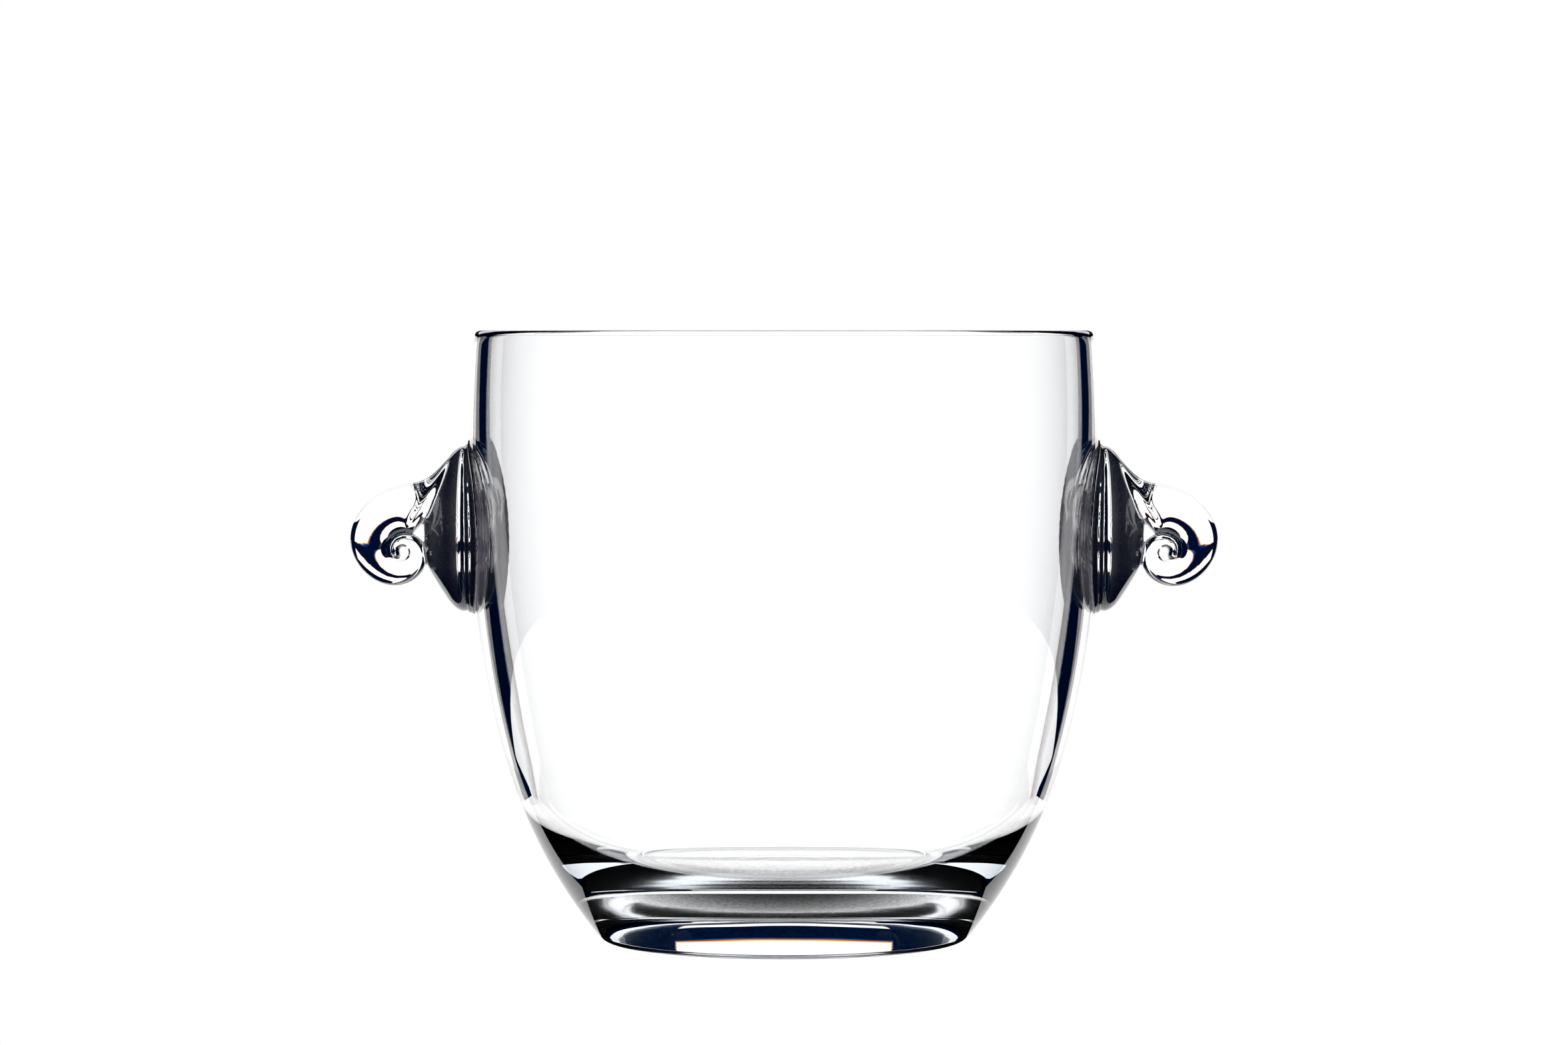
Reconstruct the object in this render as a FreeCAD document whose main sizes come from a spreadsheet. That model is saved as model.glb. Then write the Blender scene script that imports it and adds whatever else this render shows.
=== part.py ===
import FreeCAD, Part
import math
import os
import Sketcher

# A clear glass champagne bucket: a thick-walled vessel turned about the Z axis, and two
# solid glass handles, each a round flange that runs out into a rolled horn. Each flange
# is ground to the wall's curve and held by a thin bond pad.
# Millimetres. Origin: centre of the foot, on the surface it stands on. +X: right handle.

DOC = FreeCAD.newDocument("champagne_bucket")


def make_sheet():
    """The driving dimensions, one per row: alias, value."""
    sheet = DOC.addObject("Spreadsheet::Sheet", "Sheet")
    rows = [
        # vessel, outside: three tangent arcs from foot to rim
        ("height", 220.0),
        ("foot_radius", 61.4),
        ("lower_arc_radius", 177.9),
        ("lower_join_height", 68.0),
        ("middle_arc_radius", 347.0),
        ("upper_join_height", 148.8),
        ("upper_arc_radius", 675.0),
        ("belly_radius", 113.1),
        ("belly_height", 170.0),
        ("rim_round_radius", 2.5),
        # vessel, inside: the wall's arc, the bowl's arc, and a floor inside a fine ring
        ("inner_belly_radius", 107.3),
        ("inner_belly_height", 184.0),
        ("inner_wall_radius", 493.6),
        ("bowl_radius", 52.0),
        ("ring_radius", 53.4),
        ("ring_height", 19.6),
        ("floor_radius", 52.4),
        ("floor_height", 19.0),
        # handle flange, turned about a level axis
        ("handle_height", 148.7),
        ("flange_radius", 29.3),
        ("flange_root", 108.0),
        ("flange_shoulder", 115.6),
        ("flange_round_radius", 6.0),
        ("flange_neck_radius", 15.5),
        ("flange_neck", 125.2),
        ("flange_end", 127.5),
        # rolled horn: oval sections about the eye of a logarithmic spiral
        ("eye_distance", 137.3),
        ("eye_drop", 8.2),
        ("spiral_reach", 23.8),
        ("spiral_quarter_ratio", 0.717),
        ("far_bulge", 2.6),
        ("far_bulge_angle", 170.0),
        ("far_bulge_spread", 40.0),
        ("horn_start_angle", 40.0),
        ("horn_overlap", 1.08),
        ("horn_width_share", 0.34),
        ("horn_width_base", 4.6),
        ("eye_bead_radius", 3.2),
        ("eye_bead_half_width", 5.0),
        # bond pad
        ("pad_radius", 31.0),
        ("pad_thickness", 0.4),
        ("pad_blank_depth", 14.0),
        # wall former, a tool that grinds flange and pad to the wall
        ("former_below", 20.0),
        ("former_above", 30.0),
    ]
    for number, (alias, value) in enumerate(rows, start=1):
        cell = "A%d" % number
        sheet.set(cell, str(value))
        sheet.setAlias(cell, alias)
    DOC.recompute()
    return sheet


SHEET = make_sheet()


def size(alias):
    """A sheet cell's value, for starting positions before the constraints act."""
    return float(SHEET.get(alias))


def origin_plane(body, role):
    for feature in body.Origin.OriginFeatures:
        if feature.Role == role:
            return feature
    raise RuntimeError("no plane " + role)


def new_sketch(body, name):
    """A sketch on the body's own XZ plane: sketch X is the row's X, sketch Y is its Z."""
    sketch = body.newObject("Sketcher::SketchObject", name)
    sketch.AttachmentSupport = [(origin_plane(body, "XZ_Plane"), "")]
    sketch.MapMode = "FlatFace"
    return sketch


def point(x, y):
    return FreeCAD.Vector(x, y, 0)


def add_line(sketch, start, end):
    return sketch.addGeometry(Part.LineSegment(point(*start), point(*end)), False)


def add_arc(sketch, centre, radius, start_degrees, end_degrees):
    circle = Part.Circle(point(*centre), FreeCAD.Vector(0, 0, 1), radius)
    arc = Part.ArcOfCircle(circle, math.radians(start_degrees), math.radians(end_degrees))
    return sketch.addGeometry(arc, False)


def bound(sketch, kind, arguments, start_value, expression):
    """Add a driving constraint and bind it to the sheet."""
    index = sketch.addConstraint(Sketcher.Constraint(kind, *arguments, start_value))
    sketch.setExpression("Constraints[%d]" % index, expression)


# sketch handles: a curve's start, end and centre, and the sketch's own origin
START, END, CENTRE = 1, 2, 3
ORIGIN = (-1, 1)
# where the solver starts for joints that only tangency places: millimetres, then degrees
FOOT_EDGE_GUESS = 7.3
FOOT_TURN_GUESS = -40.0
BOWL_START_GUESS = -75.0
BOWL_END_GUESS = -15.0
RIM_LEAN_GUESS = 4.0
FLANGE_TURN_GUESS = 25.0
FORMER_START_GUESS = -12.0
FORMER_END_GUESS = 2.0


def height_of(sketch, curve, end, value, expression):
    bound(sketch, "DistanceY", ORIGIN + (curve, end), value, expression)


def reach_of(sketch, curve, end, value, expression):
    bound(sketch, "DistanceX", ORIGIN + (curve, end), value, expression)


def join(sketch, kind, first, first_end, second, second_end):
    sketch.addConstraint(Sketcher.Constraint(kind, first, first_end, second, second_end))


def outer_arcs(extra):
    """Centres, radii and joints of the outer wall's three arcs, moved out by extra."""
    upper = size("upper_arc_radius")
    middle = size("middle_arc_radius")
    lower = size("lower_arc_radius")
    upper_centre = (size("belly_radius") - upper, size("belly_height"))
    rise = size("upper_join_height") - upper_centre[1]
    upper_angle = math.degrees(math.asin(rise / upper))
    turn = (math.cos(math.radians(upper_angle)), math.sin(math.radians(upper_angle)))
    middle_centre = (upper_centre[0] + (upper - middle) * turn[0],
                     upper_centre[1] + (upper - middle) * turn[1])
    rise = size("lower_join_height") - middle_centre[1]
    middle_angle = math.degrees(math.asin(rise / middle))
    turn = (math.cos(math.radians(middle_angle)), math.sin(math.radians(middle_angle)))
    lower_centre = (middle_centre[0] + (middle - lower) * turn[0],
                    middle_centre[1] + (middle - lower) * turn[1])
    return {
        "upper": (upper_centre, upper + extra, upper_angle),
        "middle": (middle_centre, middle + extra, middle_angle),
        "lower": (lower_centre, lower + extra, middle_angle),
    }


def make_bucket():
    """The vessel: one outline turned once round the Z axis."""
    body = DOC.addObject("PartDesign::Body", "bucket")
    sketch = new_sketch(body, "bucket_outline")
    arcs = outer_arcs(0.0)
    foot = size("foot_radius")
    top = size("height")
    rim = size("rim_round_radius")
    rim_centre = (arcs["upper"][0][0] + arcs["upper"][1] - rim, top - rim)
    inner_wall = size("inner_wall_radius")
    bowl_size = size("bowl_radius")
    edge = FOOT_EDGE_GUESS

    # outside, from the axis to the top of the rim
    base = add_line(sketch, (0, 0), (foot, 0))
    corner = add_arc(sketch, (foot, edge), edge, -90, FOOT_TURN_GUESS)
    lower = add_arc(sketch, arcs["lower"][0], arcs["lower"][1], FOOT_TURN_GUESS, arcs["lower"][2])
    middle = add_arc(sketch, arcs["middle"][0], arcs["middle"][1], arcs["middle"][2], arcs["upper"][2])
    upper = add_arc(sketch, arcs["upper"][0], arcs["upper"][1], arcs["upper"][2], RIM_LEAN_GUESS)
    rim_outer = add_arc(sketch, rim_centre, rim, RIM_LEAN_GUESS, 90)
    # inside, from the top of the rim to the axis
    inner_centre = (size("inner_belly_radius") - inner_wall, size("inner_belly_height"))
    ring = (size("ring_radius"), size("ring_height"))
    floor_edge = (size("floor_radius"), size("floor_height"))
    shift = inner_wall - bowl_size
    bowl_centre = (inner_centre[0] + shift * math.cos(math.radians(BOWL_END_GUESS)),
                   inner_centre[1] + shift * math.sin(math.radians(BOWL_END_GUESS)))
    rim_inner = add_arc(sketch, rim_centre, rim, 90, 180 + RIM_LEAN_GUESS)
    inside = add_arc(sketch, inner_centre, inner_wall, BOWL_END_GUESS, RIM_LEAN_GUESS)
    bowl = add_arc(sketch, bowl_centre, bowl_size, BOWL_START_GUESS, BOWL_END_GUESS)
    step = add_line(sketch, ring, floor_edge)
    floor = add_line(sketch, floor_edge, (0, floor_edge[1]))
    axis = add_line(sketch, (0, floor_edge[1]), (0, 0))

    join(sketch, "Coincident", base, START, *ORIGIN)
    sketch.addConstraint(Sketcher.Constraint("Horizontal", base))
    reach_of(sketch, base, END, foot, "Sheet.foot_radius")
    join(sketch, "Tangent", base, END, corner, START)
    join(sketch, "Tangent", corner, END, lower, START)
    bound(sketch, "Radius", (lower,), arcs["lower"][1], "Sheet.lower_arc_radius")
    join(sketch, "Tangent", lower, END, middle, START)
    bound(sketch, "Radius", (middle,), arcs["middle"][1], "Sheet.middle_arc_radius")
    height_of(sketch, middle, START, size("lower_join_height"), "Sheet.lower_join_height")
    join(sketch, "Tangent", middle, END, upper, START)
    bound(sketch, "Radius", (upper,), arcs["upper"][1], "Sheet.upper_arc_radius")
    height_of(sketch, upper, START, size("upper_join_height"), "Sheet.upper_join_height")
    height_of(sketch, upper, CENTRE, size("belly_height"), "Sheet.belly_height")
    bound(sketch, "DistanceX", (upper, CENTRE) + ORIGIN, -arcs["upper"][0][0],
          "Sheet.upper_arc_radius - Sheet.belly_radius")
    join(sketch, "Tangent", upper, END, rim_outer, START)
    bound(sketch, "Radius", (rim_outer,), rim, "Sheet.rim_round_radius")
    height_of(sketch, rim_outer, END, top, "Sheet.height")
    sketch.addConstraint(Sketcher.Constraint("Vertical", rim_outer, CENTRE, rim_outer, END))
    join(sketch, "Tangent", rim_outer, END, rim_inner, START)
    join(sketch, "Tangent", rim_inner, END, inside, END)
    bound(sketch, "Radius", (inside,), inner_wall, "Sheet.inner_wall_radius")
    height_of(sketch, inside, CENTRE, size("inner_belly_height"), "Sheet.inner_belly_height")
    bound(sketch, "DistanceX", (inside, CENTRE) + ORIGIN, -inner_centre[0],
          "Sheet.inner_wall_radius - Sheet.inner_belly_radius")
    join(sketch, "Tangent", inside, START, bowl, END)
    bound(sketch, "Radius", (bowl,), bowl_size, "Sheet.bowl_radius")
    reach_of(sketch, bowl, START, ring[0], "Sheet.ring_radius")
    height_of(sketch, bowl, START, ring[1], "Sheet.ring_height")
    join(sketch, "Coincident", bowl, START, step, START)
    join(sketch, "Coincident", step, END, floor, START)
    reach_of(sketch, floor, START, floor_edge[0], "Sheet.floor_radius")
    height_of(sketch, floor, START, floor_edge[1], "Sheet.floor_height")
    sketch.addConstraint(Sketcher.Constraint("Horizontal", floor))
    join(sketch, "Coincident", floor, END, axis, START)
    join(sketch, "Coincident", axis, END, base, START)
    sketch.addConstraint(Sketcher.Constraint("Vertical", axis))

    turn_round(body, sketch, "V_Axis")
    return body


def turn_round(body, sketch, axis_name):
    revolution = body.newObject("PartDesign::Revolution", body.Name + "_turned")
    revolution.Profile = sketch
    revolution.ReferenceAxis = (sketch, [axis_name])
    revolution.Angle = 360
    sketch.Visibility = False


def make_wall_former():
    """A plug with the outer wall's curve, one bond pad's thickness larger all round."""
    body = DOC.addObject("PartDesign::Body", "wall_former")
    sketch = new_sketch(body, "former_outline")
    pad = size("pad_thickness")
    arcs = outer_arcs(pad)
    low = size("lower_join_height") + size("former_below")
    high = size("belly_height") + size("former_above")
    middle = add_arc(sketch, arcs["middle"][0], arcs["middle"][1], FORMER_START_GUESS, arcs["upper"][2])
    upper = add_arc(sketch, arcs["upper"][0], arcs["upper"][1], arcs["upper"][2], FORMER_END_GUESS)
    reach = size("belly_radius")
    roof = add_line(sketch, (reach, high), (0, high))
    axis = add_line(sketch, (0, high), (0, low))
    base = add_line(sketch, (0, low), (reach, low))

    join(sketch, "Tangent", middle, END, upper, START)
    bound(sketch, "Radius", (middle,), arcs["middle"][1], "Sheet.middle_arc_radius + Sheet.pad_thickness")
    bound(sketch, "Radius", (upper,), arcs["upper"][1], "Sheet.upper_arc_radius + Sheet.pad_thickness")
    height_of(sketch, upper, CENTRE, size("belly_height"), "Sheet.belly_height")
    bound(sketch, "DistanceX", (upper, CENTRE) + ORIGIN, -arcs["upper"][0][0],
          "Sheet.upper_arc_radius - Sheet.belly_radius")
    height_of(sketch, middle, CENTRE, arcs["middle"][0][1],
              "Sheet.belly_height + (Sheet.upper_arc_radius - Sheet.middle_arc_radius)"
              " * (Sheet.upper_join_height - Sheet.belly_height) / Sheet.upper_arc_radius")
    join(sketch, "Coincident", upper, END, roof, START)
    height_of(sketch, roof, START, high, "Sheet.belly_height + Sheet.former_above")
    sketch.addConstraint(Sketcher.Constraint("Horizontal", roof))
    join(sketch, "Coincident", roof, END, axis, START)
    sketch.addConstraint(Sketcher.Constraint("PointOnObject", axis, START, -2))
    sketch.addConstraint(Sketcher.Constraint("Vertical", axis))
    join(sketch, "Coincident", axis, END, base, START)
    height_of(sketch, base, START, low, "Sheet.lower_join_height + Sheet.former_below")
    sketch.addConstraint(Sketcher.Constraint("Horizontal", base))
    join(sketch, "Coincident", base, END, middle, START)
    turn_round(body, sketch, "V_Axis")
    return body


def make_flange():
    """The handle's bell-shaped flange, turned about its own level axis."""
    body = DOC.addObject("PartDesign::Body", "flange_blank")
    sketch = new_sketch(body, "flange_outline")
    level = size("handle_height")
    root = size("flange_root")
    rim = level + size("flange_radius")
    shoulder = size("flange_shoulder")
    rounding = size("flange_round_radius")
    neck = (size("flange_neck"), level + size("flange_neck_radius"))
    end = size("flange_end")

    back = add_line(sketch, (root, level), (root, rim))
    edge = add_line(sketch, (root, rim), (shoulder, rim))
    corner = add_arc(sketch, (shoulder, rim - rounding), rounding, FLANGE_TURN_GUESS, 90)
    flank = add_line(sketch, (shoulder + rounding, rim - rounding), neck)
    nose = add_line(sketch, neck, (end, level))
    axis = add_line(sketch, (end, level), (root, level))

    sketch.addConstraint(Sketcher.Constraint("Vertical", back))
    sketch.addConstraint(Sketcher.Constraint("Horizontal", axis))
    sketch.addConstraint(Sketcher.Constraint("Horizontal", edge))
    join(sketch, "Coincident", back, START, axis, END)
    join(sketch, "Coincident", back, END, edge, START)
    join(sketch, "Tangent", edge, END, corner, END)
    join(sketch, "Tangent", corner, START, flank, START)
    join(sketch, "Coincident", flank, END, nose, START)
    join(sketch, "Coincident", nose, END, axis, START)
    reach_of(sketch, back, START, root, "Sheet.flange_root")
    height_of(sketch, back, START, level, "Sheet.handle_height")
    height_of(sketch, edge, START, rim, "Sheet.handle_height + Sheet.flange_radius")
    reach_of(sketch, edge, END, shoulder, "Sheet.flange_shoulder")
    bound(sketch, "Radius", (corner,), rounding, "Sheet.flange_round_radius")
    reach_of(sketch, nose, START, neck[0], "Sheet.flange_neck")
    height_of(sketch, nose, START, neck[1], "Sheet.handle_height + Sheet.flange_neck_radius")
    reach_of(sketch, nose, END, end, "Sheet.flange_end")
    sketch.addGeometry(Part.LineSegment(point(root, level), point(end, level)), True)
    centre_line = sketch.GeometryCount - 1
    join(sketch, "Coincident", centre_line, START, axis, END)
    join(sketch, "Coincident", centre_line, END, axis, START)
    turn_round(body, sketch, "Axis0")
    return body


HORN_STEP = 30.0
HORN_SECTIONS = 19
HORN_SPLIT = 8


def horn_section(index):
    """
    One oval of the horn. The horn's outside is a logarithmic spiral about the eye, and
    each turn lies against the next, so both the oval's place and its size follow from
    the spiral's reach at that angle.
    """
    oval = DOC.addObject("Part::Ellipse", "horn_section_%02d" % index)
    turned = "(Sheet.horn_start_angle + %g)" % (HORN_STEP * index)
    reach = "Sheet.spiral_reach * pow(Sheet.spiral_quarter_ratio; (%s - 90) / 90)" % turned
    past = "((%s - Sheet.far_bulge_angle) / Sheet.far_bulge_spread)" % turned
    outside = "(%s + Sheet.far_bulge * exp(-%s * %s))" % (reach, past, past)
    inside = "(%s * (1 - (1 - pow(Sheet.spiral_quarter_ratio; 4)) * Sheet.horn_overlap))" % reach
    middle = "(%s + %s) / 2" % (outside, inside)
    half_depth = "(%s - %s) / 2" % (outside, inside)
    half_width = "(%s) * Sheet.horn_width_share + Sheet.horn_width_base" % reach
    oval.setExpression("MajorRadius", "max(%s; %s)" % (half_depth, half_width))
    oval.setExpression("MinorRadius", "min(%s; %s)" % (half_depth, half_width))
    # the long way lies across the spiral wherever the oval is wider than deep
    across = "(%s > %s ? 90 : 0)" % (half_width, half_depth)
    oval.setExpression(
        "Placement",
        "create(<<placement>>;"
        " create(<<vector>>; Sheet.eye_distance - (%s) * cos(%s * 1deg); 0;"
        " Sheet.handle_height - Sheet.eye_drop + (%s) * sin(%s * 1deg));"
        " create(<<rotation>>; create(<<vector>>; 0; 1; 0); %s - 180)"
        " * create(<<rotation>>; create(<<vector>>; 0; 0; 1); %s))"
        % (middle, turned, middle, turned, turned, across))
    return oval


def make_loft(name, sections):
    loft = DOC.addObject("Part::Loft", name)
    loft.Sections = sections
    loft.Solid = True
    loft.Ruled = False
    loft.Closed = False
    return loft


def make_fuse(name, shapes):
    fuse = DOC.addObject("Part::MultiFuse", name)
    fuse.Shapes = shapes
    return fuse


def make_cut(name, base, tool):
    cut = DOC.addObject("Part::Cut", name)
    cut.Base = base
    cut.Tool = tool
    return cut


def make_handle(former):
    """Flange and horn as one solid, its back ground to the wall's curve."""
    flange = make_flange()
    ovals = [horn_section(index) for index in range(HORN_SECTIONS)]
    outer_turn = make_loft("horn_outer_turn", ovals[:HORN_SPLIT + 1])
    inner_turn = make_loft("horn_inner_turn", ovals[HORN_SPLIT:])
    eye = DOC.addObject("Part::Ellipsoid", "horn_eye")
    eye.setExpression("Radius1", "Sheet.eye_bead_radius")
    eye.setExpression("Radius2", "Sheet.eye_bead_radius")
    eye.setExpression("Radius3", "Sheet.eye_bead_half_width")
    eye.setExpression("Placement.Base.x", "Sheet.eye_distance")
    eye.setExpression("Placement.Base.z", "Sheet.handle_height - Sheet.eye_drop")
    eye.Placement.Rotation = FreeCAD.Rotation(FreeCAD.Vector(1, 0, 0), 90)
    blank = make_fuse("handle_blank", [flange, outer_turn, inner_turn, eye])
    return make_cut("right_handle", blank, former)


def make_pad(former, bucket):
    """The thin bond pad between flange and wall, curved as the wall is."""
    disc = DOC.addObject("Part::Cylinder", "pad_disc")
    disc.setExpression("Radius", "Sheet.pad_radius")
    disc.setExpression("Height", "Sheet.pad_blank_depth")
    disc.setExpression("Placement.Base.x", "Sheet.flange_root")
    disc.setExpression("Placement.Base.z", "Sheet.handle_height")
    disc.Placement.Rotation = FreeCAD.Rotation(FreeCAD.Vector(0, 1, 0), 90)
    layer = DOC.addObject("Part::Common", "pad_layer")
    layer.Base = disc
    layer.Tool = former
    return make_cut("right_handle_bond", layer, bucket)


def make_mirror(name, source):
    """The left-hand twin, across the YZ plane."""
    twin = DOC.addObject("Part::Mirroring", name)
    twin.Source = source
    twin.Base = FreeCAD.Vector(0, 0, 0)
    twin.Normal = FreeCAD.Vector(1, 0, 0)
    return twin


def check(pieces):
    """Stop on any failed object or broken solid."""
    for thing in DOC.Objects:
        if "Invalid" in thing.State or "Error" in thing.State:
            raise RuntimeError("%s failed: %s" % (thing.Name, thing.State))
    for piece in pieces:
        shape = piece.Shape
        if shape.isNull() or not shape.isValid() or len(shape.Solids) != 1:
            raise RuntimeError("%s: bad shape, %d solids" % (piece.Label, len(shape.Solids)))
        box = shape.BoundBox
        print("%-20s %9.0f mm3  x %7.2f %7.2f  y %7.2f %7.2f  z %7.2f %7.2f"
              % (piece.Label, shape.Volume, box.XMin, box.XMax, box.YMin, box.YMax, box.ZMin, box.ZMax))


def main():
    bucket = make_bucket()
    former = make_wall_former()
    DOC.recompute()
    right_handle = make_handle(former)
    right_bond = make_pad(former, bucket)
    left_handle = make_mirror("left_handle", right_handle)
    left_bond = make_mirror("left_handle_bond", right_bond)
    DOC.recompute()
    pieces = [bucket, right_handle, left_handle, right_bond, left_bond]
    for piece in pieces:
        piece.Label = piece.Name
    check(pieces)
    os.makedirs("parts", exist_ok=True)
    for piece in pieces:
        piece.Shape.exportStep("parts/%s.step" % piece.Label)


main()
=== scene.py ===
import math

import bmesh
import bpy
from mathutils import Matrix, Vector


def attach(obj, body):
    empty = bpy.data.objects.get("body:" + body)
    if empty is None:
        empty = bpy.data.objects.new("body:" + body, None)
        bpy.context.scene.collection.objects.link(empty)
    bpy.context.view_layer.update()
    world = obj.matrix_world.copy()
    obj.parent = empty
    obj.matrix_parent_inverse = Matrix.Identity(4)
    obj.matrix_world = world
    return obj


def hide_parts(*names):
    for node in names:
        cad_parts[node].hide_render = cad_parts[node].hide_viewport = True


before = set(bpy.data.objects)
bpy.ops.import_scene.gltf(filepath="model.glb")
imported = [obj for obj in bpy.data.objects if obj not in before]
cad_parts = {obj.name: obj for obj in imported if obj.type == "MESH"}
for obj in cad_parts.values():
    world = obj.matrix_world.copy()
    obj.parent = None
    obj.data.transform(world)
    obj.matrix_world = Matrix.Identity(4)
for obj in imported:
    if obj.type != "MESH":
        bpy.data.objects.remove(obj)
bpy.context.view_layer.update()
mm = 0.001                                     # outlines are written in millimetres


def arcPoints(centre, radius, startDegrees, endDegrees, steps):
    points = []
    for step in range(steps + 1):
        angle = math.radians(startDegrees + (endDegrees - startDegrees) * step / steps)
        points.append((centre[0] + radius * math.cos(angle), centre[1] + radius * math.sin(angle)))
    return points


def angleTo(centre, point):
    return math.degrees(math.atan2(point[1] - centre[1], point[0] - centre[0]))


def smoothStep(value):
    value = min(1.0, max(0.0, value))
    return value * value * (3 - 2 * value)


def cubicThrough(points, stepsPerSpan):
    # smooth run through a list of points, each span split evenly
    run = []
    for index in range(len(points) - 1):
        before = points[max(index - 1, 0)]
        start, end = points[index], points[index + 1]
        after = points[min(index + 2, len(points) - 1)]
        for step in range(stepsPerSpan):
            t = step / stepsPerSpan
            run.append(tuple(
                0.5 * (2 * b + (c - a) * t + (2 * a - 5 * b + 4 * c - d) * t ** 2
                       + (3 * b - a - 3 * c + d) * t ** 3)
                for a, b, c, d in zip(before, start, end, after)))
    run.append(tuple(points[-1]))
    return run


def makeObject(name, mesh, material=None):
    piece = bpy.data.objects.new(name, mesh)
    bpy.context.scene.collection.objects.link(piece)
    if material is not None:
        mesh.materials.clear()
        mesh.materials.append(material)
    return piece


def meshFrom(name, corners, faces):
    mesh = bpy.data.meshes.new(name)
    mesh.from_pydata([Vector(corner) * mm for corner in corners], [], faces)
    work = bmesh.new()
    work.from_mesh(mesh)
    bmesh.ops.recalc_face_normals(work, faces=work.faces)
    for face in work.faces:
        face.smooth = True
    work.to_mesh(mesh)
    work.free()
    return mesh


def loopSurface(rows, closedRows=True):
    # rows of corners, each row a closed loop or a single point, joined into faces
    corners, faces, rowIndex = [], [], []
    for row in rows:
        rowIndex.append(list(range(len(corners), len(corners) + len(row))))
        corners.extend(row)
    for low, high in zip(rowIndex, rowIndex[1:]):
        count = max(len(low), len(high))
        for k in range(count):
            ring = []
            nextK = (k + 1) % count
            for index in (low[k % len(low)], low[nextK % len(low)],
                          high[nextK % len(high)], high[k % len(high)]):
                if index not in ring:
                    ring.append(index)
            if len(ring) > 2:
                faces.append(ring)
    return corners, faces


def addNode(tree, kind, **settings):
    node = tree.nodes.new(kind)
    for key, value in settings.items():
        setattr(node, key, value)
    return node


def feed(tree, target, value):
    if isinstance(value, bpy.types.NodeSocket):
        tree.links.new(value, target)
    else:
        target.default_value = value


def sums(tree, operation, first, second=None, third=None):
    # one Math node, in a shader or a geometry tree
    node = addNode(tree, "ShaderNodeMath", operation=operation)
    for slot, value in enumerate((first, second, third)):
        if value is not None:
            feed(tree, node.inputs[slot], value)
    return node.outputs[0]


def newGroup(name, kind, inputs, outputs):
    # a node group with named sockets; returns the tree and its two end nodes
    tree = bpy.data.node_groups.new(name, kind)
    for direction, sockets in (("INPUT", inputs), ("OUTPUT", outputs)):
        for title, socketKind, start in sockets:
            socket = tree.interface.new_socket(name=title, in_out=direction, socket_type=socketKind)
            if start is not None:
                socket.default_value = start
    return tree, addNode(tree, "NodeGroupInput"), addNode(tree, "NodeGroupOutput")


number = "NodeSocketFloat"


def makeHandmadeSurface():
    # what every glass piece shares: slow waviness, faint smudges, and wear near the table
    tree, ask, give = newGroup(
        "handmadeSurface", "ShaderNodeTree",
        [("Wave Size", number, 30.0), ("Wave Height", number, 0.5), ("Smudge", number, 0.01),
         ("Foot Wear", number, 0.2), ("Wear Height", number, 0.0006)],
        [("Roughness", number, None), ("Height", number, None)])
    place = addNode(tree, "ShaderNodeTexCoord").outputs["Object"]
    waves = addNode(tree, "ShaderNodeTexNoise")
    waves.inputs["Detail"].default_value = 1.0
    tree.links.new(place, waves.inputs["Vector"])
    tree.links.new(ask.outputs["Wave Size"], waves.inputs["Scale"])
    height = sums(tree, "MULTIPLY", waves.outputs["Fac"], ask.outputs["Wave Height"])
    tree.links.new(height, give.inputs["Height"])
    smears = addNode(tree, "ShaderNodeTexNoise")
    smears.inputs["Scale"].default_value = 45.0
    smears.inputs["Detail"].default_value = 5.0
    smears.inputs["Distortion"].default_value = 1.2
    tree.links.new(place, smears.inputs["Vector"])
    smearMask = addNode(tree, "ShaderNodeMapRange", interpolation_type="SMOOTHSTEP")
    smearMask.inputs["From Min"].default_value = 0.56
    smearMask.inputs["From Max"].default_value = 0.80
    tree.links.new(smears.outputs["Fac"], smearMask.inputs["Value"])
    smudge = sums(tree, "MULTIPLY", smearMask.outputs["Result"], ask.outputs["Smudge"])
    split = addNode(tree, "ShaderNodeSeparateXYZ")
    tree.links.new(place, split.inputs[0])
    lowDown = sums(tree, "LESS_THAN", split.outputs["Z"], ask.outputs["Wear Height"])
    grit = addNode(tree, "ShaderNodeTexNoise")
    grit.inputs["Scale"].default_value = 900.0
    grit.inputs["Detail"].default_value = 3.0
    tree.links.new(place, grit.inputs["Vector"])
    gritty = sums(tree, "MULTIPLY", lowDown, grit.outputs["Fac"])
    wear = sums(tree, "MULTIPLY", gritty, ask.outputs["Foot Wear"])
    tree.links.new(sums(tree, "ADD", smudge, wear), give.inputs["Roughness"])
    return tree


handmadeSurface = makeHandmadeSurface()

glassLook = {
    "index": 1.50,
    "tint": (0.80, 0.90, 1.0, 1.0),            # what a metre of it would leave of white light
    "tintDensity": 3.0,
    "vesselWaves": (26.0, 0.6),                # waves per metre, height
    "handleWaves": (60.0, 1.2),
    "waveDepth": 0.00006,
}


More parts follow.
